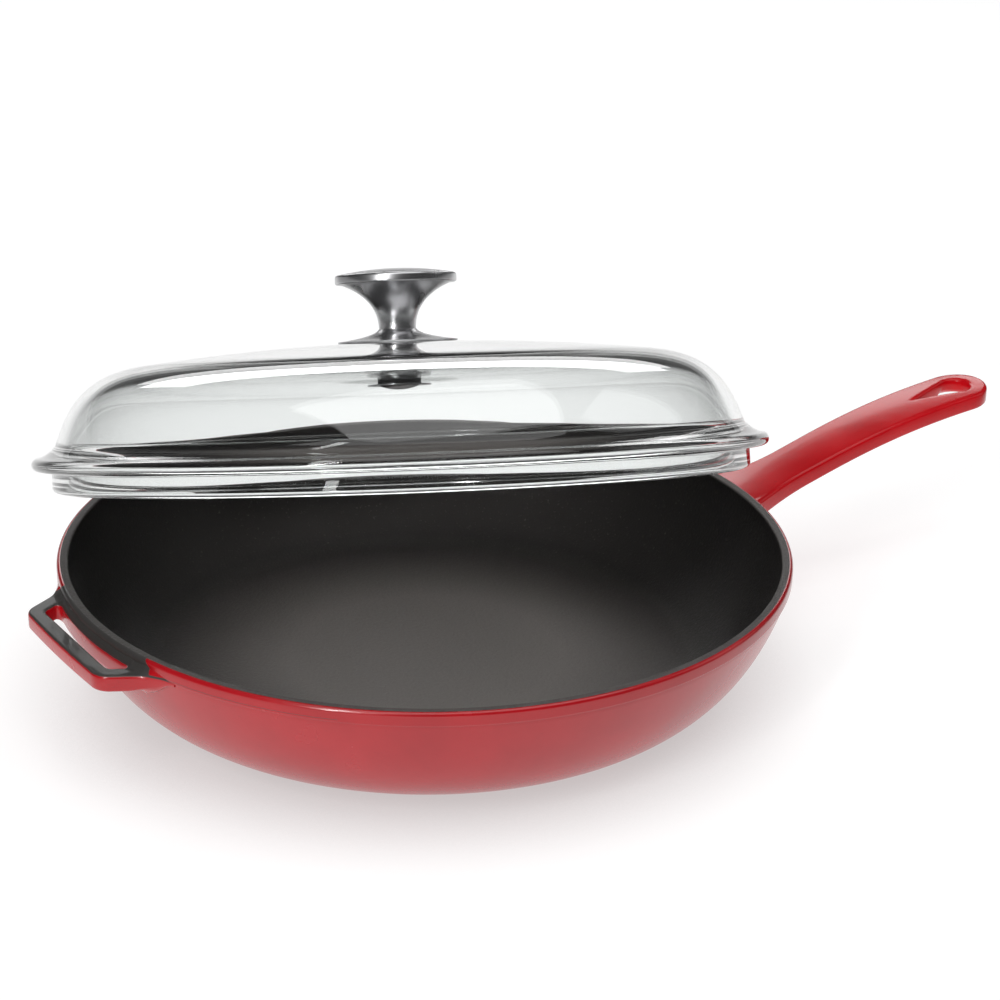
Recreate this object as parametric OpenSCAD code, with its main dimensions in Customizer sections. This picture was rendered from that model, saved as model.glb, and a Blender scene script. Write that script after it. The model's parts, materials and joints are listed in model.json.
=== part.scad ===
// Enamelled cast-iron skillet with a glass lid.
// Millimetres, +Z up. The origin is the centre of the flat base, +X runs along the long handle.
// The lid is shown tipped open, its rear edge dipping inside the rim; lid_tilt = 0 closes it.

/* [Pan] */
// Outside diameter of the rim
rim_d = 290; // [240:1:340]
// Height from the flat base to the top of the rim
pan_h = 54; // [48:1:70]
// Diameter of the flat base
base_d = 200; // [160:1:210]
// Thickness of the casting with its enamel
wall_t = 4.5; // [3.5:0.1:6]
// Thickness of each enamel coat
enamel_t = 0.4; // [0.3:0.05:0.6]
// Height of the upright band around the rim
band_h = 5.3; // [4:0.1:8]
// How far the band stands out from the wall below it
band_step = 0.8; // [0.5:0.1:1.2]

/* [Long handle] */
// Distance from the pan's axis to the handle's tip
handle_reach = 293.5; // [260:0.5:320]
// Full width of the grip
handle_w = 28; // [24:0.5:32]
// Thickness of the grip
handle_t = 7; // [7:0.5:10]
// Height of the tip's top above the rim
tip_rise = 14.5; // [6:0.5:24]
// Radius of the round end of the hanging hole
hang_r = 6.8; // [5:0.2:8]
// Length of the hanging hole from its point to its round end
hang_len = 30; // [26:1:36]

/* [Helper handle] */
// Distance from the pan's axis to the loop's outer edge
helper_reach = 158; // [156:0.5:166]
// Length of the loop's outer edge between its round corners
helper_w = 55; // [44:1:64]
// Width of the loop's outer bar
helper_bar_w = 7; // [6:0.2:9]
// Thickness of the loop
helper_t = 6.5; // [6:0.5:10]
// Depth of the loop's top below the rim
helper_drop = 4.5; // [3:0.5:8]

/* [Lid] */
// Outside diameter of the glass flange
flange_d = 284; // [283:0.5:287]
// Thickness of the flange
flange_t = 5; // [4:0.5:6]
// Outside diameter of the skirt that sits inside the rim
skirt_d = 269; // [266:0.5:272]
// Depth of the skirt below the flange
skirt_h = 8.5; // [6:0.5:9]
// Thickness of the glass
glass_t = 4.2; // [3.5:0.1:5]
// Height of the glass crown above the flange's underside
crown_h = 44.6; // [42:0.2:52]
// How far the closed lid lies off centre towards the front, so that its rear edge clears the rim
lid_slide = 2.8; // [2.6:0.2:4]
// Angle by which the lid is tipped open
lid_tilt = 21; // [0:0.5:66]
// Direction of the lid's rear edge, measured from the long handle
tilt_azimuth = 68.5; // [60:0.5:120]
// Distance of the tipping axis from the pan's axis
tilt_reach = 105; // [104:1:108]
// Height of the tipping axis above the rim
tilt_rise = 24; // [22:1:26]
// Lean of the tipping axis, which swings the lid sideways as it opens
tilt_lean = 15; // [12:1:15]

/* [Knob] */
// Diameter of the knob's cap
knob_d = 47.2; // [40:0.2:52]
// Height of the knob's trumpet stem
stem_h = 17.6; // [14:0.2:20]
// Diameter of the stem at its neck
neck_d = 14.4; // [12:0.2:18]
// Diameter of the flared foot under the stem
foot_d = 46.6; // [40:0.2:50]
// Height of the flared foot
foot_h = 4.2; // [4:0.2:7]
// Diameter of the screw that holds the knob
screw_d = 6; // [5:1:6]

/* [Hidden] */
$fn = 128;
curve_steps = 20;

rim_r = rim_d / 2;
base_r = base_d / 2;

// Rim section: the band, its rounded outer edge and the smaller inner edge.
edge_r = 1.5;
inner_edge_r = 0.8;
rim_inner_r = rim_r - wall_t;
step_drop = 0.6;
wall_foot = [base_r, 0];
wall_bend = [rim_r - 14, 4.5];
wall_head = [rim_r - band_step, pan_h - band_h - step_drop];

// Long handle: its top line, its underside and its plan.
root_x = 138;
top_line = [[root_x, pan_h - 10.5], [185, pan_h - 10.5], [205, pan_h + tip_rise - 4],
            [handle_reach, pan_h + tip_rise]];
under_line = [[root_x, pan_h - 20.5], [183, pan_h - 17], [207, pan_h + tip_rise - handle_t - 4],
              [handle_reach, pan_h + tip_rise - handle_t]];
waist_x = 185;
waist_w = handle_w - 3;
flare_r = 85;
flare_x = root_x + 8;
hang_x = handle_reach - 14.6;

// Helper handle: round corners join a nearly straight bar to two legs that spread towards the rim.
bar_arc_r = 600;
corner_r = 6;
leg_a = 58;
slot_corner_r = 4.5;
leg_end = [rim_r - 0.7, 38.9];
leg_flare = [rim_r - 6.3, 42.4];
leg_foot = [rim_r - 9.2, 50.8];
helper_top = pan_h - helper_drop;

// Lid: the flange lies seat_gap above the rim when the lid is closed.
seat_gap = 0.3;
flange_r = flange_d / 2;
skirt_r = skirt_d / 2;
dome_foot = [skirt_r - 0.5, flange_t + 1];
crown_edge_r = 98;
crown_rise = 5.9;
crown_arc_r = (crown_edge_r * crown_edge_r + crown_rise * crown_rise) / (2 * crown_rise);
dome_head = [crown_edge_r, crown_h - crown_rise];
dome_bend_low = [dome_foot[0] - 6, dome_foot[1] + 18];
dome_bend_high = [crown_edge_r + 24, crown_h - crown_rise - 3.1];
glass_hole_r = 4;

// Knob stack, each height counted from the top of the glass at its centre.
pad_t = 0.6;
stem_z = pad_t + foot_h;
cap_z = stem_z + stem_h;
cap_side = 3.5;
cap_dome = 2.4;
cap_round = 1;
stem_top_r = knob_d / 2 - 2.1;
stem_bore_depth = 12;
screw_r = screw_d / 2;
inner_pad_t = 3;
inner_pad_r = 8.5;
washer_t = 1.2;
washer_r = 12.5;
screw_head_h = 3.5;
screw_head_r = 8;
screw_clearance = 0.3;
// The bush under the glass starts below the crown's inner curve.
under_glass = glass_t + 0.06;

// ---- Curves ----

function arc_points(centre, r, from_a, to_a, steps) =
    [for (i = [0:steps])
        let (a = from_a + (to_a - from_a) * i / steps)
        centre + r * [cos(a), sin(a)]];

function bend2(p, t) = (1 - t) * (1 - t) * p[0] + 2 * t * (1 - t) * p[1] + t * t * p[2];

function slope2(p, t) = (1 - t) * (p[1] - p[0]) + t * (p[2] - p[1]);

function bend3(p, t) =
    pow(1 - t, 3) * p[0] + 3 * t * pow(1 - t, 2) * p[1] + 3 * t * t * (1 - t) * p[2] + t * t * t * p[3];

function slope3(p, t) =
    pow(1 - t, 2) * (p[1] - p[0]) + 2 * t * (1 - t) * (p[2] - p[1]) + t * t * (p[3] - p[2]);

// The point's left-hand side, one unit away from a curve that runs in direction d.
function left_of(d) = [-d[1], d[0]] / norm(d);

function backwards(list) = [for (i = [len(list) - 1:-1:0]) list[i]];

// ---- Pan ----

wall_curve = [wall_foot, wall_bend, wall_head];

// The wall from the base to the band, moved inwards by depth.
function wall_points(depth) =
    [for (i = [0:curve_steps])
        let (t = i / curve_steps)
        bend2(wall_curve, t) + depth * left_of(slope2(wall_curve, t))];

// The outside of the band and its rounded top edge, moved inwards by depth.
function band_points(depth) =
    concat([[rim_r - depth, pan_h - band_h]],
           arc_points([rim_r - edge_r, pan_h - edge_r], edge_r - depth, 0, 90, 6));

// The outside from the base to the rim's top.
function outside_points(depth) = concat(wall_points(depth), band_points(depth));

// The inside from the centre of the floor to the rim's top, moved into the casting by depth.
function inside_points(depth) =
    let (wall = wall_points(wall_t - depth))
    concat([[0, wall[0][1]]], wall,
           arc_points([rim_inner_r + inner_edge_r, pan_h - inner_edge_r],
                      inner_edge_r - depth, 180, 90, 4));

module pan_casting() {
    color("dimgray")
        rotate_extrude()
            polygon(concat([[0, 0], wall_foot], outside_points(enamel_t),
                           backwards(inside_points(enamel_t))));
}

module exterior_enamel() {
    color("firebrick")
        rotate_extrude()
            polygon(concat(outside_points(0), backwards(outside_points(enamel_t))));
}

module interior_enamel() {
    color("black")
        rotate_extrude()
            polygon(concat(inside_points(0), [[rim_r - edge_r, pan_h], [rim_r - edge_r, pan_h - enamel_t]],
                           backwards(inside_points(enamel_t))));
}

// The pan as one filled solid, which trims what is cast onto its side.
module filled_pan() {
    rotate_extrude()
        polygon(concat([[0, 0]], outside_points(0), [[0, pan_h]]));
}

// ---- Long handle ----

// Mirrors half an outline across the X axis and joins the two halves.
function both_sides(half) = concat(half, [for (p = backwards(half)) [p[0], -p[1]]]);

module grip_plan() {
    flare_a = asin((waist_x - flare_x) / flare_r);
    tip_r = handle_w / 2;
    polygon(both_sides(concat(
        [[root_x - 10, waist_w / 2 + flare_r * (1 - cos(flare_a))]],
        arc_points([waist_x, waist_w / 2 + flare_r], flare_r, 270 - flare_a, 270, 10),
        arc_points([handle_reach - tip_r, 0], tip_r, 90, 0, 12))));
}

module grip_profile() {
    top = [for (i = [0:curve_steps]) bend3(top_line, i / curve_steps)];
    under = [for (i = [0:curve_steps]) bend3(under_line, i / curve_steps)];
    polygon(concat(top, backwards(under)));
}

// A round hole that runs out to a point towards the pan.
module hanging_hole() {
    point_gap = hang_len - hang_r;
    touch_a = acos(hang_r / point_gap);
    touch = hang_r * [-cos(touch_a), sin(touch_a)];
    translate([hang_x, 0, 0]) {
        cylinder(r = hang_r, h = 2 * pan_h);
        linear_extrude(2 * pan_h)
            polygon([[-point_gap, 0], [touch[0], -touch[1]], [0, 0], touch]);
    }
}

module long_handle() {
    color("firebrick")
        difference() {
            intersection() {
                linear_extrude(2 * pan_h)
                    grip_plan();
                translate([0, handle_w, 0])
                    rotate([90, 0, 0])
                        linear_extrude(2 * handle_w)
                            grip_profile();
            }
            filled_pan();
            hanging_hole();
        }
}

// ---- Helper handle ----

module helper_plan() {
    bar_a = asin(helper_w / 2 / bar_arc_r);
    bar = arc_points([helper_reach - bar_arc_r, 0], bar_arc_r, 0, bar_a, 5);
    corner_centre = bar[len(bar) - 1] - corner_r * [cos(bar_a), sin(bar_a)];
    corner = arc_points(corner_centre, corner_r, bar_a, leg_a, 6);
    flare = [for (i = [0:6]) bend2([leg_end, leg_flare, leg_foot], i / 6)];
    polygon(both_sides(backwards(concat(bar, corner, flare, [[rim_r - 20, leg_foot[1]]]))));
}

module helper_slot() {
    corner_centre = [helper_reach - helper_bar_w - slot_corner_r, helper_w / 2 - slot_corner_r + 1];
    corner = arc_points(corner_centre, slot_corner_r, 0, leg_a, 6);
    leg_run = 18;
    inner_end = corner[len(corner) - 1] + leg_run * [-sin(leg_a), cos(leg_a)];
    polygon(both_sides(backwards(concat(corner, [inner_end, [rim_r - 18, inner_end[1]]]))));
}

module helper_handle() {
    color("firebrick")
        difference() {
            rotate([0, 0, 180])
                translate([0, 0, helper_top - helper_t])
                    linear_extrude(helper_t)
                        difference() {
                            helper_plan();
                            helper_slot();
                        }
            filled_pan();
        }
}

// ---- Lid ----

dome_curve = [dome_foot, dome_bend_low, dome_bend_high, dome_head];

// The glass dome from its foot to its centre hole, moved inwards by depth.
function dome_points(depth) =
    let (crown_a = asin(crown_edge_r / crown_arc_r),
         hole_a = asin(glass_hole_r / (crown_arc_r - depth)))
    concat([for (i = [0:curve_steps])
                let (t = i / curve_steps)
                bend3(dome_curve, t) + depth * left_of(slope3(dome_curve, t))],
           arc_points([0, crown_h - crown_arc_r], crown_arc_r - depth,
                      90 - crown_a * 0.97, 90 - hole_a, 12));

module glass_profile() {
    tip = arc_points([flange_r - flange_t / 2, flange_t / 2], flange_t / 2, -90, 90, 12);
    skirt_end_r = glass_t / 2;
    skirt_end = arc_points([skirt_r - skirt_end_r, skirt_end_r - skirt_h], skirt_end_r, 180, 360, 10);
    polygon(concat(skirt_end, [[skirt_r, 0]], tip, dome_points(0), backwards(dome_points(glass_t))));
}

// Places what is drawn on the closed lid, and tips it open about the tipping axis.
module on_lid() {
    translate([0, 0, pan_h])
        rotate([0, 0, tilt_azimuth])
            translate([tilt_reach, 0, tilt_rise])
                rotate(a = lid_tilt, v = [0, cos(tilt_lean), -sin(tilt_lean)])
                    translate([-lid_slide - tilt_reach, 0, seat_gap - tilt_rise])
                        rotate([0, 0, -tilt_azimuth])
                            children();
}

// Places what is drawn on top of the glass at its centre.
module on_crown() {
    on_lid()
        translate([0, 0, crown_h])
            children();
}

module drilled_disc(r, h, hole_r) {
    difference() {
        cylinder(r = r, h = h);
        translate([0, 0, -1])
            cylinder(r = hole_r, h = h + 2);
    }
}

module glass_cover() {
    color("lightcyan", 0.4)
        on_lid()
            rotate_extrude()
                glass_profile();
}

module foot_gasket() {
    color("dimgray")
        on_crown()
            drilled_disc(foot_d / 2 - 3, pad_t, glass_hole_r);
}

module knob_foot() {
    flare = [[foot_d / 2, 0.5], [neck_d / 2 + 2, 1.6], [neck_d / 2, foot_h]];
    color("silver")
        on_crown()
            translate([0, 0, pad_t])
                rotate_extrude()
                    polygon(concat([[screw_r, 0], [foot_d / 2, 0]],
                                   [for (i = [0:10]) bend2(flare, i / 10)],
                                   [[screw_r, foot_h]]));
}

module knob_stem() {
    trumpet = [[neck_d / 2, 0], [neck_d / 2, 12], [stem_top_r, stem_h]];
    color("silver")
        on_crown()
            translate([0, 0, stem_z])
                rotate_extrude()
                    polygon(concat([[screw_r, 0]],
                                   [for (i = [0:14]) bend2(trumpet, i / 14)],
                                   [[0, stem_h], [0, stem_bore_depth], [screw_r, stem_bore_depth]]));
}

module knob_cap() {
    cap_r = knob_d / 2;
    dome_arc_r = (cap_r * cap_r + cap_dome * cap_dome) / (2 * cap_dome);
    dome_a = asin((cap_r - cap_round) / dome_arc_r);
    color("silver")
        on_crown()
            translate([0, 0, cap_z])
                rotate_extrude()
                    polygon(concat([[0, 0]],
                                   arc_points([cap_r - cap_round, cap_round], cap_round, -90, 0, 4),
                                   [[cap_r, cap_side - cap_round / 2]],
                                   arc_points([0, cap_side + cap_dome - dome_arc_r], dome_arc_r,
                                              90 - dome_a, 90, 12)));
}

module inner_gasket() {
    color("dimgray")
        on_crown()
            translate([0, 0, -under_glass - inner_pad_t])
                drilled_disc(inner_pad_r, inner_pad_t, screw_r + screw_clearance);
}

module inner_washer() {
    color("gainsboro")
        on_crown()
            translate([0, 0, -under_glass - inner_pad_t - washer_t])
                drilled_disc(washer_r, washer_t, screw_r + screw_clearance);
}

module knob_screw() {
    under_head = under_glass + inner_pad_t + washer_t;
    head_arc_r = (screw_head_r * screw_head_r + screw_head_h * screw_head_h) / (2 * screw_head_h);
    head_a = asin(screw_head_r / head_arc_r);
    color("silver")
        on_crown() {
            translate([0, 0, -under_head])
                cylinder(r = screw_r, h = under_head + stem_z + stem_bore_depth - 1);
            translate([0, 0, -under_head])
                rotate_extrude()
                    polygon(concat([[0, 0]],
                                   arc_points([0, head_arc_r - screw_head_h], head_arc_r,
                                              head_a - 90, -90, 10)));
        }
}

pan_casting();
exterior_enamel();
interior_enamel();
long_handle();
helper_handle();
glass_cover();
knob_cap();
knob_stem();
knob_foot();
foot_gasket();
inner_gasket();
inner_washer();
knob_screw();
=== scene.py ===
import json
from math import acos, asin, atan2, cos, hypot, pi, radians, sin

import bmesh
import bpy
from mathutils import Matrix, Vector


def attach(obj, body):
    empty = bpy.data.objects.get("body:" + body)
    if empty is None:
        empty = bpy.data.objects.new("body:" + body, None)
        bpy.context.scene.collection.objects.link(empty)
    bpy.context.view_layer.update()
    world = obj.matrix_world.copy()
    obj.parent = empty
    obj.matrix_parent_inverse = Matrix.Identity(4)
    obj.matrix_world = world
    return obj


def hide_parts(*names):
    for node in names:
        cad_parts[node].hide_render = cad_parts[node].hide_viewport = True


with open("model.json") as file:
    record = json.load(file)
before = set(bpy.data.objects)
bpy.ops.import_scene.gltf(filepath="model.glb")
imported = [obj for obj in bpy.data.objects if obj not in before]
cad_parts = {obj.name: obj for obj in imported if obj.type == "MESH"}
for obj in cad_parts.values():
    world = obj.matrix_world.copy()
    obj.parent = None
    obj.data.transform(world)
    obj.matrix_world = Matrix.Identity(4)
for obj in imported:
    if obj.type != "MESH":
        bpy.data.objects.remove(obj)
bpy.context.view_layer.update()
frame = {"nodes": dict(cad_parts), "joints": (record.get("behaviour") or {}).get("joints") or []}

# Every length is in metres. The frame is the CAD model's: the origin is the centre of the flat
# base, +Z is up and +X runs along the long handle.
MM = 0.001
SEGMENTS = 256

# Driving sizes of the pan, the same as the CAD model's.
RIM_R = 145 * MM
PAN_H = 54 * MM
BASE_R = 100 * MM
WALL_T = 4.5 * MM
ENAMEL_T = 0.4 * MM
BAND_H = 5.3 * MM
BAND_STEP = 0.8 * MM

# Long handle.
REACH = 293.5 * MM
GRIP_W = 28 * MM
GRIP_T = 7 * MM
TIP_RISE = 14.5 * MM
HANG_R = 6.8 * MM
HANG_LEN = 30 * MM
HANG_X = REACH - 14.6 * MM
ROOT_X = 138 * MM

# Helper loop.
LOOP_REACH = 158 * MM
LOOP_W = 55 * MM
LOOP_BAR = 7 * MM
LOOP_T = 6.5 * MM
LOOP_TOP = PAN_H - 4.5 * MM
SLOT_LEDGE = 1.6 * MM

# Lid and knob.
FLANGE_R = 142 * MM
FLANGE_T = 5 * MM
SKIRT_R = 134.5 * MM
SKIRT_H = 8.5 * MM
GLASS_T = 4.2 * MM
CROWN_H = 44.6 * MM
SEAT_GAP = 0.3 * MM
LID_SLIDE = 2.8 * MM
PAD_T = 0.6 * MM
FOOT_H = 4.2 * MM
FOOT_R = 23.3 * MM
NECK_R = 7.2 * MM
STEM_H = 17.6 * MM
CAP_R = 23.6 * MM
CAP_SIDE = 3.5 * MM
CAP_DOME = 2.4 * MM

# Camera: its place, and its heading, downward tilt and roll in degrees.
CAMERA_AT = (-0.4742, -0.7739, 0.4579)
CAMERA_HEADING = -33.32
CAMERA_TILT = 23.0
CAMERA_ROLL = 1.05
CAMERA_LENS_MM = 90


# ---- Curves ----

def arc(centre, r, start, end, steps):
    """Points on an arc, from one angle in degrees to another."""
    points = []
    for i in range(steps + 1):
        a = radians(start + (end - start) * i / steps)
        points.append((centre[0] + r * cos(a), centre[1] + r * sin(a)))
    return points


def bezier(control, t):
    """The point at t on a Bezier curve with any number of control points."""
    points = [Vector(p) for p in control]
    while len(points) > 1:
        points = [a.lerp(b, t) for a, b in zip(points, points[1:])]
    return points[0]


def bezier_points(control, steps):
    return [tuple(bezier(control, i / steps)) for i in range(steps + 1)]


def offset(line, depth):
    """The line moved by depth to its left-hand side."""
    moved = []
    for i, p in enumerate(line):
        before = Vector(line[max(i - 1, 0)])
        after = Vector(line[min(i + 1, len(line) - 1)])
        d = (after - before).normalized()
        moved.append((p[0] - d.y * depth, p[1] + d.x * depth))
    return moved


# ---- Meshes ----

def link(name, mesh, materials, body, slot, *replaced):
    """Puts a mesh in the scene as a piece that rides on a body."""
    piece = bpy.data.objects.new(name, mesh)
    bpy.context.scene.collection.objects.link(piece)
    for material in materials:
        mesh.materials.append(material)
    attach(piece, body)
    if replaced:
        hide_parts(*replaced)
    return piece


def finish_mesh(bm, name, place=None, sharp=35):
    """Makes a smooth-shaded mesh, with edges over the sharp angle kept crisp."""
    bmesh.ops.remove_doubles(bm, verts=bm.verts, dist=0.5e-6)
    bmesh.ops.recalc_face_normals(bm, faces=bm.faces)
    if place is not None:
        bmesh.ops.transform(bm, matrix=place, verts=bm.verts)
    for face in bm.faces:
        face.smooth = True
    for edge in bm.edges:
        edge.smooth = len(edge.link_faces) == 2 and edge.calc_face_angle() < radians(sharp)
    mesh = bpy.data.meshes.new(name)
    bm.to_mesh(mesh)
    bm.free()
    return mesh


def lathe(name, profile, place=None, segments=SEGMENTS):
    """A closed profile of (radius, height) points, turned round the Z axis."""
    bm = bmesh.new()
    rings = []
    for r, z in profile:
        if r < 1e-7:
            rings.append([bm.verts.new((0, 0, z))])
            continue
        ring = []
        for i in range(segments):
            a = 2 * pi * i / segments
            ring.append(bm.verts.new((r * cos(a), r * sin(a), z)))
        rings.append(ring)
    for one, two in zip(rings, rings[1:] + rings[:1]):
        if len(one) == 1 and len(two) == 1:
            continue
        for i in range(segments):
            k = (i + 1) % segments
            if len(one) == 1:
                bm.faces.new((one[0], two[i], two[k]))
            elif len(two) == 1:
                bm.faces.new((one[i], two[0], one[k]))
            else:
                bm.faces.new((one[i], two[i], two[k], one[k]))
    return finish_mesh(bm, name, place)


def plate(name, outlines, thickness, round_r, step_x, step_y):
    """A flat plate with rounded edges, cut by a grid so that it can be bent. Its middle is at z = 0."""
    curve = bpy.data.curves.new(name, "CURVE")
    curve.dimensions = "2D"
    curve.fill_mode = "BOTH"
    curve.extrude = thickness / 2 - round_r
    curve.bevel_depth = round_r
    curve.bevel_resolution = 3
    curve.offset = -round_r
    for outline in outlines:
        spline = curve.splines.new("POLY")
        spline.points.add(len(outline) - 1)
        for point, (x, y) in zip(spline.points, outline):
            point.co = (x, y, 0, 1)
        spline.use_cyclic_u = True
    holder = bpy.data.objects.new(name, curve)
    bpy.context.scene.collection.objects.link(holder)
    bpy.context.view_layer.update()
    solid = holder.evaluated_get(bpy.context.evaluated_depsgraph_get())
    bm = bmesh.new()
    bm.from_mesh(solid.to_mesh())
    solid.to_mesh_clear()
    bpy.data.objects.remove(holder)
    bpy.data.curves.remove(curve)
    bmesh.ops.remove_doubles(bm, verts=bm.verts, dist=1e-6)
    for axis, step in ((0, step_x), (1, step_y)):
        low = min(v.co[axis] for v in bm.verts)
        high = max(v.co[axis] for v in bm.verts)
        normal = (1, 0, 0) if axis == 0 else (0, 1, 0)
        for i in range(1, int((high - low) / step)):
            at = [0, 0, 0]
            at[axis] = low + i * step
            everything = bm.verts[:] + bm.edges[:] + bm.faces[:]
            bmesh.ops.bisect_plane(bm, geom=everything, plane_co=at, plane_no=normal, dist=2e-6)
    return bm


def both_sides(half):
    """Mirrors half an outline across the X axis and joins the two halves."""
    return half + [(x, -y) for x, y in reversed(half) if abs(y) > 1e-9]


# ---- Materials ----

def new_material(name):
    material = bpy.data.materials.new(name)
    material.use_nodes = True
    tree = material.node_tree
    shader = tree.nodes["Principled BSDF"]
    return material, tree, shader


def node(tree, kind, settings=None, **inputs):
    """Adds a node, sets its properties, and sets or links its inputs."""
    made = tree.nodes.new(kind)
    for key, value in (settings or {}).items():
        setattr(made, key, value)
    for key, value in inputs.items():
        socket = made.inputs[key.replace("_", " ")]
        if isinstance(value, bpy.types.NodeSocket):
            tree.links.new(value, socket)
        else:
            socket.default_value = value
    return made


def object_point(tree):
    return tree.nodes.new("ShaderNodeTexCoord").outputs["Object"]


def noise(tree, point, scale, detail=3.0, roughness=0.5):
    made = node(tree, "ShaderNodeTexNoise", Vector=point, Scale=scale, Detail=detail, Roughness=roughness)
    return made.outputs["Fac"]


def span(tree, value, low, high, to_low=0.0, to_high=1.0):
    """Maps value from low..high to to_low..to_high, and clamps it."""
    made = node(tree, "ShaderNodeMapRange", Value=value, From_Min=low, From_Max=high,
                To_Min=to_low, To_Max=to_high)
    return made.outputs["Result"]


def maths(tree, operation, a, b=0.0):
    made = tree.nodes.new("ShaderNodeMath")
    made.operation = operation
    for socket, value in zip(made.inputs, (a, b)):
        if isinstance(value, bpy.types.NodeSocket):
            tree.links.new(value, socket)
        else:
            socket.default_value = value
    return made.outputs[0]


def axis_distance(tree, parts):
    """The distance from the Z axis of a point that is split into X, Y and Z."""
    square = maths(tree, "ADD", maths(tree, "POWER", parts.outputs["X"], 2.0),
                   maths(tree, "POWER", parts.outputs["Y"], 2.0))
    return maths(tree, "SQRT", square)


def mix_colour(tree, factor, one, two):
    made = tree.nodes.new("ShaderNodeMix")
    made.data_type = "RGBA"
    for index, value in ((0, factor), (6, one), (7, two)):
        if isinstance(value, bpy.types.NodeSocket):
            tree.links.new(value, made.inputs[index])
        else:
            made.inputs[index].default_value = value
    return made.outputs[2]


def bump(tree, shader, height, strength, distance, below=None):
    made = node(tree, "ShaderNodeBump", Strength=strength, Distance=distance, Height=height)
    if below is not None:
        tree.links.new(below, made.inputs["Normal"])
    tree.links.new(made.outputs["Normal"], shader.inputs["Normal"])
    return made.outputs["Normal"]


def red_enamel(name, black_from=None, painted_light_scale=1.0, gloss=0.5):
    """Glossy vitreous enamel: deep red, a little uneven, with faint orange peel. The third
    argument scales how light the red is; it makes lighter and darker copies of this one enamel,
    painted light and painted shade for parts that catch more or less light. gloss sets its
    reflections and its clear coat. With black_from, the helper loop's side is black from that
    height up, as the inner coat runs down over the rim there and ends in a point at each leg."""
    material, tree, shader = new_material(name)
    point = object_point(tree)
    cloud = noise(tree, point, 35.0, 4.0)
    fleck = noise(tree, point, 900.0, 2.0)
    # Painted light and shade: both reds are scaled by the lightness argument, so each copy is lighter or
    # darker by how light falls on its part.
    colour = mix_colour(tree, span(tree, cloud, 0.35, 0.65),
                        (0.50 * painted_light_scale, 0.002, 0.007, 1), (0.58 * painted_light_scale, 0.004, 0.010, 1))
    colour = mix_colour(tree, span(tree, fleck, 0.62, 0.75, 0.0, 0.35), colour, (0.32, 0.004, 0.008, 1))
    rough = span(tree, cloud, 0.3, 0.7, 0.22, 0.28)
    if black_from is not None:
        parts = node(tree, "ShaderNodeSeparateXYZ", Vector=point)
        wobble = maths(tree, "MULTIPLY", noise(tree, point, 220.0), 0.0004)
        side = maths(tree, "ABSOLUTE", parts.outputs["Y"])
        front = maths(tree, "LESS_THAN", parts.outputs["X"], -0.1)
        ceiling = span(tree, side, 34 * MM, 41 * MM, PAN_H + 2 * MM, LOOP_TOP + 0.7 * MM)
        level = maths(tree, "ADD", parts.outputs["Z"], wobble)
        above = span(tree, level, black_from, black_from + 0.25 * MM)
        below = span(tree, maths(tree, "SUBTRACT", ceiling, level), 0.0, 0.25 * MM)
        patch = maths(tree, "MULTIPLY", front, maths(tree, "MULTIPLY", above, below))
        colour = mix_colour(tree, patch, colour, (0.035, 0.032, 0.030, 1))
        rough = maths(tree, "ADD", rough, maths(tree, "MULTIPLY", patch, 0.35))
    tree.links.new(colour, shader.inputs["Base Color"])
    tree.links.new(rough, shader.inputs["Roughness"])
    shader.inputs["IOR"].default_value = 1.52
    shader.inputs["Specular IOR Level"].default_value = gloss
    shader.inputs["Coat Weight"].default_value = gloss / 2
    shader.inputs["Coat Roughness"].default_value = 0.06
    peel = noise(tree, point, 160.0, 2.0)
    bump(tree, shader, peel, 0.12, 0.0006)
    return material


def black_enamel(name):
    """Matte black enamel with a fine sandy grain. Its flat floor is painted lighter than the walls,
    a painted highlight that stands in for the sheen of light on the floor. The rim's top is
    painted lighter than the walls as well."""
    material, tree, shader = new_material(name)
    point = object_point(tree)
    cloud = noise(tree, point, 22.0, 3.0)
    grain = noise(tree, point, 700.0, 4.0, 0.7)
    colour = mix_colour(tree, span(tree, cloud, 0.3, 0.7),
                        (0.005, 0.004, 0.004, 1), (0.009, 0.008, 0.008, 1))
    parts = node(tree, "ShaderNodeSeparateXYZ", Vector=point)
    # Painted highlight: the flat floor gets a lighter colour towards the axis, standing in for the sheen
    # of light on it.
    painted_floor_highlight = span(tree, axis_distance(tree, parts), 55 * MM, 112 * MM, 0.9, 0.0)
    colour = mix_colour(tree, painted_floor_highlight, colour, (0.165, 0.149, 0.140, 1))
    top = span(tree, parts.outputs["Z"], PAN_H - 1.0 * MM, PAN_H - 0.3 * MM, 0.0, 0.8)
    colour = mix_colour(tree, top, colour, (0.055, 0.050, 0.048, 1))
    colour = mix_colour(tree, span(tree, grain, 0.60, 0.74, 0.0, 0.5), colour, (0.12, 0.11, 0.10, 1))
    tree.links.new(colour, shader.inputs["Base Color"])
    tree.links.new(span(tree, grain, 0.3, 0.7, 0.46, 0.58), shader.inputs["Roughness"])
    shader.inputs["Specular Tint"].default_value = (1.0, 0.93, 0.89, 1)
    bump(tree, shader, grain, 0.5, 0.0006)
    return material


def cast_iron(name):
    """Bare underside: dark iron with the fine rings left by grinding."""
    material, tree, shader = new_material(name)
    point = object_point(tree)
    parts = node(tree, "ShaderNodeSeparateXYZ", Vector=point)
    rings = maths(tree, "SINE", maths(tree, "MULTIPLY", axis_distance(tree, parts), 9000.0))
    grain = noise(tree, point, 700.0, 4.0, 0.6)
    colour = mix_colour(tree, grain, (0.018, 0.017, 0.016, 1), (0.055, 0.052, 0.050, 1))
    tree.links.new(colour, shader.inputs["Base Color"])
    shader.inputs["Metallic"].default_value = 0.0
    tree.links.new(span(tree, grain, 0.3, 0.7, 0.45, 0.65), shader.inputs["Roughness"])
    height = maths(tree, "ADD", maths(tree, "MULTIPLY", rings, 0.15), grain)
    bump(tree, shader, height, 0.4, 0.0004)
    return material


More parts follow.
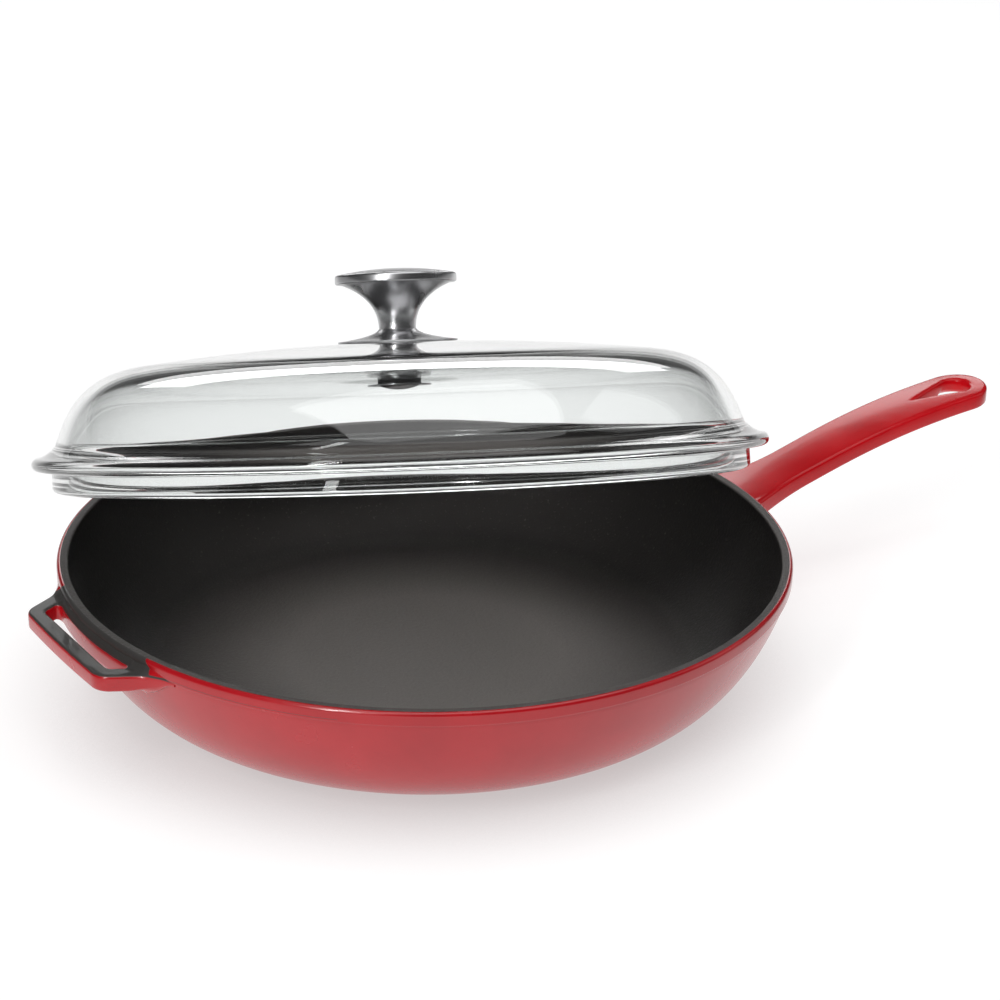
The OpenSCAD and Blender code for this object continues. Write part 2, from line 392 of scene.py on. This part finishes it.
def clear_glass(name):
    """Clear glass with a trace of green, faint haze and a slight wave."""
    material, tree, shader = new_material(name)
    shader.inputs["Base Color"].default_value = (0.96, 0.975, 0.97, 1)
    shader.inputs["Transmission Weight"].default_value = 1.0
    shader.inputs["IOR"].default_value = 1.5
    point = object_point(tree)
    haze = noise(tree, point, 60.0, 2.0)
    tree.links.new(span(tree, haze, 0.4, 0.7, 0.0, 0.03), shader.inputs["Roughness"])
    wave = noise(tree, point, 28.0, 1.0)
    bump(tree, shader, wave, 0.015, 0.001)
    return material


def satin_steel(name, place):
    """Turned and brushed steel: fine rings round the knob's axis."""
    material, tree, shader = new_material(name)
    turned = tree.nodes.new("ShaderNodeMapping")
    back = place.inverted()
    turned.inputs["Location"].default_value = back.to_translation()
    turned.inputs["Rotation"].default_value = back.to_euler()
    tree.links.new(object_point(tree), turned.inputs["Vector"])
    parts = node(tree, "ShaderNodeSeparateXYZ", Vector=turned.outputs["Vector"])
    ring_point = node(tree, "ShaderNodeCombineXYZ", X=axis_distance(tree, parts), Y=parts.outputs["Z"])
    rings = noise(tree, ring_point.outputs["Vector"], 3500.0, 3.0, 0.7)
    cloud = noise(tree, object_point(tree), 60.0, 2.0)
    colour = mix_colour(tree, rings, (0.47, 0.47, 0.48, 1), (0.59, 0.59, 0.60, 1))
    tree.links.new(colour, shader.inputs["Base Color"])
    shader.inputs["Metallic"].default_value = 1.0
    tree.links.new(span(tree, cloud, 0.3, 0.7, 0.24, 0.28), shader.inputs["Roughness"])
    shader.inputs["Anisotropic"].default_value = 0.5
    bump(tree, shader, rings, 0.12, 0.00008)
    return material


def silicone(name):
    """Matte black rubber for the gaskets."""
    material, tree, shader = new_material(name)
    grain = noise(tree, object_point(tree), 1500.0, 2.0)
    colour = mix_colour(tree, grain, (0.015, 0.015, 0.015, 1), (0.035, 0.035, 0.035, 1))
    tree.links.new(colour, shader.inputs["Base Color"])
    shader.inputs["Roughness"].default_value = 0.6
    bump(tree, shader, grain, 0.2, 0.0001)
    return material


# ---- Pan ----

WALL = [(BASE_R, 0), (131 * MM, 4.5 * MM), (RIM_R - BAND_STEP, PAN_H - BAND_H - 0.6 * MM)]


def outside_line(depth):
    """The outside from the base to the rim's outer edge, moved inwards by depth."""
    edge_r = 1.5 * MM
    wall = offset(bezier_points(WALL, 48), depth)
    step = bezier_points([wall[-1], (wall[-1][0], wall[-1][1] + 0.9 * MM),
                          (RIM_R - depth, PAN_H - BAND_H - 0.4 * MM),
                          (RIM_R - depth, PAN_H - BAND_H + 0.7 * MM)], 8)
    edge = arc((RIM_R - edge_r, PAN_H - edge_r), edge_r - depth, 0, 90, 8)
    return wall[:-1] + step + edge


def wall_radius(z):
    """The outside wall's radius at height z."""
    low, high = 0.0, 1.0
    for _ in range(22):
        t = (low + high) / 2
        if bezier(WALL, t).y < z:
            low = t
        else:
            high = t
    return bezier(WALL, low).x


def sink_root(v, root_r, depth):
    """Moves a root point of a handle into the wall, so that nothing shows inside the pan."""
    r = hypot(v.co.x, v.co.y)
    if r > root_r:
        return
    wanted = wall_radius(min(v.co.z, WALL[2][1])) - depth
    v.co.x *= wanted / r
    v.co.y *= wanted / r


def inside_line(depth):
    """The inside from the floor's centre to the rim's top, moved into the casting by depth."""
    edge_r = 0.9 * MM
    wall = offset(bezier_points(WALL, 48), WALL_T - depth)
    floor_z = WALL_T - depth
    floor = [(0, floor_z), (40 * MM, floor_z), (80 * MM, floor_z)]
    blend = [p for p in wall if p[0] > 104 * MM]
    soft = bezier_points([(84 * MM, floor_z), (98 * MM, floor_z), blend[0]], 10)
    edge = arc((RIM_R - WALL_T + edge_r, PAN_H - edge_r), edge_r - depth, 180, 90, 6)
    return floor + soft + blend[1:] + edge


def make_bowl(red, black):
    """The red outer coat, and the black inner coat that laps over the rim."""
    outer = outside_line(0) + list(reversed(outside_line(ENAMEL_T)))
    link("outer_enamel", lathe("outer_enamel", outer), [red], "pan", "red_enamel", "exterior_enamel")
    lip = [(RIM_R - 1.4 * MM, PAN_H + 0.02 * MM), (RIM_R - 1.4 * MM, PAN_H - ENAMEL_T)]
    inner = inside_line(0) + lip + list(reversed(inside_line(ENAMEL_T)))
    link("inner_enamel", lathe("inner_enamel", inner), [black], "pan", "black_enamel", "interior_enamel")


# ---- Long handle ----

TOP_LINE = [(ROOT_X, PAN_H - 10.5 * MM), (185 * MM, PAN_H - 10.5 * MM),
            (205 * MM, PAN_H + TIP_RISE - 4 * MM), (REACH, PAN_H + TIP_RISE)]
UNDER_LINE = [(ROOT_X, PAN_H - 20.5 * MM), (183 * MM, PAN_H - 17 * MM),
              (207 * MM, PAN_H + TIP_RISE - GRIP_T - 4 * MM), (REACH, PAN_H + TIP_RISE - GRIP_T)]


def height_at(line, x):
    """The height of a Bezier line at x, found by halving."""
    low, high = 0.0, 1.0
    for _ in range(22):
        t = (low + high) / 2
        if bezier(line, t).x < x:
            low = t
        else:
            high = t
    return bezier(line, (low + high) / 2).y


def handle_outline():
    waist = GRIP_W / 2 - 1.5 * MM
    waist_x = 185 * MM
    flare_r = 85 * MM
    flare_a = 27
    tip_r = GRIP_W / 2
    root_r = 138.6 * MM
    root_a = 9.6
    root = arc((0, 0), root_r, 0, root_a, 5)
    flare = arc((waist_x, waist + flare_r), flare_r, 270 - flare_a, 270, 14)
    tip = arc((REACH - tip_r, 0), tip_r, 90, 0, 16)
    return both_sides(root + flare + tip)[:-1]


def hole_outline():
    gap = HANG_LEN - HANG_R
    touch = 180 - acos(HANG_R / gap) * 180 / pi
    return both_sides(arc((HANG_X, 0), HANG_R, 0, touch, 14) + [(HANG_X - gap, 0)])[:-1]


def make_long_handle(red):
    """The long handle: a flat plate bent between its top and under lines, crowned across, with
    a fillet at its root. The underside is thinner round the hanging hole than the CAD model's."""
    thickness = 10 * MM
    bm = plate("long_handle_cast", [handle_outline(), hole_outline()], thickness, 1.8 * MM,
               2.5 * MM, 2.0 * MM)
    crown = 0.9 * MM
    fillet_run = 5 * MM
    fillet_rise = 3.0 * MM
    thinning_run = 5 * MM
    thinning = 2.4 * MM
    hole = [Vector(p) for p in hole_outline()]
    for v in bm.verts:
        x, y, z = v.co
        top = height_at(TOP_LINE, min(x, REACH))
        under = height_at(UNDER_LINE, min(x, REACH))
        share = z / thickness + 0.5
        across = min(1.0, abs(y) / (GRIP_W / 2))
        gap = max(0.0, hypot(x, y) - RIM_R)
        fillet = max(0.0, 1 - gap / fillet_run) ** 2
        top += crown * (1 - across * across) + fillet_rise * fillet
        under -= fillet_rise * fillet
        if x > HANG_X - HANG_LEN and share < 0.5:
            away = min((Vector((x, y)) - p).length for p in hole)
            under += thinning * max(0.0, 1 - away / thinning_run) ** 2
        v.co.z = under + (top - under) * share
        sink_root(v, 141 * MM, 2.5 * MM)
    mesh = finish_mesh(bm, "long_handle_cast")
    link("long_handle_cast", mesh, [red], "pan", "red_enamelled_iron", "long_handle")


# ---- Helper loop ----

def loop_outline():
    bar_arc_r = 600 * MM
    bar_a = asin(LOOP_W / 2 / bar_arc_r) * 180 / pi
    corner_r = 8 * MM
    bar = arc((LOOP_REACH - bar_arc_r, 0), bar_arc_r, 0, bar_a, 5)
    centre = (bar[-1][0] - corner_r * cos(radians(bar_a)), bar[-1][1] - corner_r * sin(radians(bar_a)))
    corner = arc(centre, corner_r, bar_a, 58, 8)
    leg = bezier_points([(RIM_R - 0.7 * MM, 38.9 * MM), (RIM_R - 6.3 * MM, 42.4 * MM),
                         (RIM_R - 9.2 * MM, 50.8 * MM)], 8)
    root_r = 141.2 * MM
    root_a = atan2(50.8, RIM_R / MM - 9.2) * 180 / pi
    root = arc((0, 0), root_r, root_a, 0, 10)
    return both_sides(list(reversed(bar + corner[1:] + leg + root)))[:-1]


def slot_outline():
    """The finger slot: a slim opening with round ends, a narrow ledge away from the rim's band."""
    corner_r = 3.6 * MM
    centre = (LOOP_REACH - LOOP_BAR - corner_r, LOOP_W / 2 - corner_r + 1.5 * MM)
    corner = arc(centre, corner_r, 0, 80, 8)
    inner_r = RIM_R + SLOT_LEDGE
    end_r = 1.6 * MM
    end_a = 11.2
    end_centre = ((inner_r + end_r) * cos(radians(end_a)), (inner_r + end_r) * sin(radians(end_a)))
    end = arc(end_centre, end_r, 80, 180 + end_a, 6)
    inner = arc((0, 0), inner_r, end_a, 0, 10)
    return both_sides(list(reversed(corner + end + inner[1:])))[:-1]


def make_helper_loop(coat):
    """The helper loop: a flat plate with a fillet at the rim, thinning down along its legs."""
    fillet_run = 3.5 * MM
    fillet_rise = 2.6 * MM
    leg_sag = 0.6 * MM
    bm = plate("helper_loop_cast", [loop_outline(), slot_outline()], LOOP_T, 1.2 * MM,
               2.0 * MM, 2.5 * MM)
    for v in bm.verts:
        gap = max(0.0, hypot(v.co.x, v.co.y) - RIM_R)
        fillet = max(0.0, 1 - gap / fillet_run) ** 2
        share = v.co.z / LOOP_T + 0.5
        taper = max(0.0, min(1.0, (abs(v.co.y) - 36 * MM) / (14 * MM)))
        thin = 1 - 0.8 * taper * taper * (3 - 2 * taper)
        sag = max(0.0, min(1.0, (abs(v.co.y) - 42 * MM) / (8 * MM)))
        top = LOOP_TOP + fillet_rise * fillet * thin - leg_sag * sag * sag
        under = LOOP_TOP - (LOOP_T + fillet_rise * fillet) * thin
        v.co.z = under + (top - under) * share
        sink_root(v, 142.5 * MM, 2.0 * MM)
    turn = Matrix.Rotation(pi, 4, "Z")
    mesh = finish_mesh(bm, "helper_loop_cast", turn)
    link("helper_loop_cast", mesh, [coat], "pan", "red_enamelled_iron", "helper_handle")


# ---- Lid ----

def lid_place():
    """The matrix that takes the closed lid's own frame to where the lid is at rest."""
    joint = frame["joints"][0]
    pivot = Matrix.Translation(Vector(joint["pos_m"]))
    axis = Vector(joint["axis"])
    turn = Matrix.Rotation(radians(-joint["range_deg"][0]), 4, axis)
    rear = axis.cross(Vector((0, 0, 1)))
    rear.normalize()
    closed = Matrix.Translation(-rear * LID_SLIDE * (1 if rear.y > 0 else -1)
                                + Vector((0, 0, PAN_H + SEAT_GAP)))
    return pivot @ turn @ pivot.inverted() @ closed


def dome_line():
    """The outside of the dome, from its foot on the flange to the crown's centre."""
    edge = 98 * MM
    rise = 5.9 * MM
    crown_r = (edge * edge + rise * rise) / (2 * rise)
    foot = (SKIRT_R - 0.5 * MM, FLANGE_T + 1 * MM)
    low = (foot[0] - 6 * MM, foot[1] + 18 * MM)
    high = (edge + 24 * MM, CROWN_H - rise - 3.1 * MM)
    shoulder = bezier_points([foot, low, high, (edge, CROWN_H - rise)], 32)
    half = asin(edge / crown_r) * 180 / pi
    crown = arc((0, CROWN_H - crown_r), crown_r, 90 - half, 90, 20)
    return shoulder + crown[1:]


def make_glass(glass, place):
    dome = dome_line()
    hole_r = 4 * MM
    inner = [p for p in offset(dome, GLASS_T) if p[0] > hole_r]
    outer = [p for p in dome if p[0] > hole_r]
    tip = arc((FLANGE_R - FLANGE_T / 2, FLANGE_T / 2), FLANGE_T / 2, -90, 78, 14)
    fillet = bezier_points([tip[-1], (SKIRT_R + 2.0 * MM, FLANGE_T + 0.3 * MM), outer[2]], 6)
    skirt_end = GLASS_T / 2
    skirt = arc((SKIRT_R - skirt_end, skirt_end - SKIRT_H), skirt_end, 180, 360, 12)
    neck = bezier_points([(SKIRT_R, -1.2 * MM), (SKIRT_R, 0), (SKIRT_R + 1.2 * MM, 0)], 4)
    profile = skirt + neck + tip + fillet[1:-1] + outer[2:] + list(reversed(inner))
    mesh = lathe("lid_glass", profile, place, 192)
    link("lid_glass", mesh, [glass], "lid", "clear_glass", "glass_cover")


def make_knob(steel, place):
    crown = place @ Matrix.Translation((0, 0, CROWN_H))
    screw_r = 3 * MM
    foot_z = PAD_T
    flare = bezier_points([(FOOT_R, foot_z - 0.3 * MM), (NECK_R + 2 * MM, foot_z + 1.4 * MM),
                           (NECK_R + 0.2 * MM, foot_z + FOOT_H - 0.1 * MM)], 14)
    lip_r = FOOT_R - 2.6 * MM
    foot = [(screw_r, foot_z), (lip_r, foot_z), (lip_r, -0.1 * MM), (FOOT_R - 0.2 * MM, -0.25 * MM)]
    foot += flare + [(NECK_R, foot_z + FOOT_H), (screw_r, foot_z + FOOT_H)]
    link("knob_foot_turned", lathe("knob_foot_turned", foot, crown, 128), [steel], "lid", "satin_steel",
         "knob_foot")
    stem_z = foot_z + FOOT_H
    top_r = CAP_R - 2.1 * MM
    trumpet = bezier_points([(NECK_R, stem_z), (NECK_R, stem_z + 12 * MM), (top_r, stem_z + STEM_H)], 28)
    stem = [(screw_r, stem_z)] + trumpet + [(0, stem_z + STEM_H), (0, stem_z + 12 * MM),
                                            (screw_r, stem_z + 12 * MM)]
    link("knob_stem_turned", lathe("knob_stem_turned", stem, crown, 128), [steel], "lid", "satin_steel",
         "knob_stem")
    cap_z = stem_z + STEM_H
    dome_r = (CAP_R * CAP_R + CAP_DOME * CAP_DOME) / (2 * CAP_DOME)
    dome_a = asin((CAP_R - 1.0 * MM) / dome_r) * 180 / pi
    side = arc((CAP_R - 0.8 * MM, cap_z + 0.8 * MM), 0.8 * MM, -90, 0, 5)
    dome = arc((0, cap_z + CAP_SIDE + CAP_DOME - dome_r), dome_r, 90 - dome_a, 90, 16)
    corner = bezier_points([(CAP_R, cap_z + CAP_SIDE - 0.9 * MM),
                            (CAP_R, cap_z + CAP_SIDE - 0.05 * MM), dome[0]], 5)
    cap = [(0, cap_z)] + side + corner[:-1] + dome
    link("knob_cap_turned", lathe("knob_cap_turned", cap, crown, 128), [steel], "lid", "satin_steel",
         "knob_cap")


# ---- Stage ----

def make_stage():
    """A pale floor that glows, dimmer close to the pan. The glow is brighter in a fan that opens
    from below the main camera along its heading, so the surround is greyer from other sides."""
    material, tree, shader = new_material("pale_floor")
    speck = noise(tree, object_point(tree), 3.0, 2.0)
    colour = mix_colour(tree, speck, (0.24, 0.24, 0.24, 1), (0.26, 0.26, 0.26, 1))
    tree.links.new(colour, shader.inputs["Base Color"])
    shade = node(tree, "ShaderNodeAmbientOcclusion", {"samples": 8}, Distance=0.11)
    glow = span(tree, shade.outputs["AO"], 0.2, 0.75, 0.50, 0.85)
    turned = tree.nodes.new("ShaderNodeMapping")
    turned.vector_type = "TEXTURE"
    turned.inputs["Location"].default_value = (CAMERA_AT[0], CAMERA_AT[1], 0)
    turned.inputs["Rotation"].default_value = (0, 0, radians(CAMERA_HEADING))
    tree.links.new(object_point(tree), turned.inputs["Vector"])
    parts = node(tree, "ShaderNodeSeparateXYZ", Vector=turned.outputs["Vector"])
    ahead = parts.outputs["Y"]
    aside = maths(tree, "DIVIDE", maths(tree, "ABSOLUTE", parts.outputs["X"]), ahead)
    within = span(tree, aside, 0.28, 0.44, 1.0, 0.0)
    beyond_start = span(tree, ahead, 0.1, 0.3)
    before_end = span(tree, ahead, 2.35, 2.8, 1.0, 0.0)
    fan = maths(tree, "MULTIPLY", maths(tree, "MULTIPLY", within, beyond_start), before_end)
    outside = 0.35
    fan_share = maths(tree, "ADD", maths(tree, "MULTIPLY", fan, 1 - outside), outside)
    glow = maths(tree, "MULTIPLY", glow, fan_share)
    tree.links.new(glow, shader.inputs["Emission Strength"])
    shader.inputs["Roughness"].default_value = 0.9
    shader.inputs["Specular IOR Level"].default_value = 0.1
    shader.inputs["Emission Color"].default_value = (1, 1, 1, 1)
    bm = bmesh.new()
    bmesh.ops.create_grid(bm, x_segments=1, y_segments=1, size=12)
    mesh = bpy.data.meshes.new("floor")
    bm.to_mesh(mesh)
    bm.free()
    floor = bpy.data.objects.new("floor", mesh)
    floor.location.z = -0.2 * MM
    mesh.materials.append(material)
    bpy.context.scene.collection.objects.link(floor)

    world = bpy.data.worlds.new("studio")
    bpy.context.scene.world = world
    world.use_nodes = True
    world.node_tree.nodes["Background"].inputs["Color"].default_value = (1, 1, 1, 1)
    world.node_tree.nodes["Background"].inputs["Strength"].default_value = 0.06


def add_softbox(name, heading, height, distance, size, watts):
    """An area light that looks at the pan from a heading in degrees."""
    light = bpy.data.lights.new(name, "AREA")
    light.shape = "RECTANGLE"
    light.size, light.size_y = size
    light.energy = watts
    box = bpy.data.objects.new(name, light)
    a = radians(heading)
    box.location = (distance * cos(a), distance * sin(a), height)
    aim = Vector((0, 0, 0.05)) - box.location
    box.rotation_euler = aim.to_track_quat("-Z", "Y").to_euler()
    bpy.context.scene.collection.objects.link(box)


def add_camera():
    heading = radians(CAMERA_HEADING)
    downwards = radians(CAMERA_TILT)
    roll = radians(CAMERA_ROLL)
    data = bpy.data.cameras.new("camera")
    data.lens = CAMERA_LENS_MM
    camera = bpy.data.objects.new("camera", data)
    camera.matrix_world = (Matrix.Translation(CAMERA_AT)
                           @ Matrix.Rotation(heading, 4, "Z")
                           @ Matrix.Rotation(pi / 2 - downwards, 4, "X")
                           @ Matrix.Rotation(roll, 4, "Z"))
    bpy.context.scene.collection.objects.link(camera)
    bpy.context.scene.camera = camera
    bpy.context.scene.view_settings.view_transform = "Standard"


def dress_cad_nodes(materials):
    """Gives each CAD node that stays in view its material."""
    for name, material in materials.items():
        mesh = frame["nodes"][name].data
        mesh.materials.clear()
        mesh.materials.append(material)


add_camera()
make_stage()
add_softbox("overhead", -90, 1.4, 0.3, (1.6, 1.2), 10)
add_softbox("left_strip", -148, 0.8, 1.3, (0.10, 1.0), 11)
add_softbox("right_fill", -20, 0.9, 1.4, (0.8, 0.8), 1.5)
add_softbox("rear", 60, 0.66, 1.4, (1.6, 0.4), 6)

# Painted light: the handle's red is a lighter copy of the enamel (1.15), for the light on its top.
red = red_enamel("red_enamel", None, 1.15, 0.25)
black = black_enamel("black_enamel")
lid = lid_place()
steel = satin_steel("satin_steel", lid)
rubber = silicone("silicone")
# Painted shade: the bowl's outer red is a darker copy of the same enamel (0.78).
make_bowl(red_enamel("red_enamel_rim_patch", LOOP_TOP + 0.3 * MM, 0.78), black)
make_long_handle(red)
# Painted shade: the helper loop's red is a darker copy of the same enamel (0.85).
make_helper_loop(red_enamel("red_enamel_loop", LOOP_TOP - 0.3 * MM, 0.85))
make_glass(clear_glass("clear_glass"), lid)
make_knob(steel, lid)
dress_cad_nodes({"pan_casting": cast_iron("cast_iron"), "foot_gasket": rubber, "inner_gasket": rubber,
                 "inner_washer": steel, "knob_screw": steel})
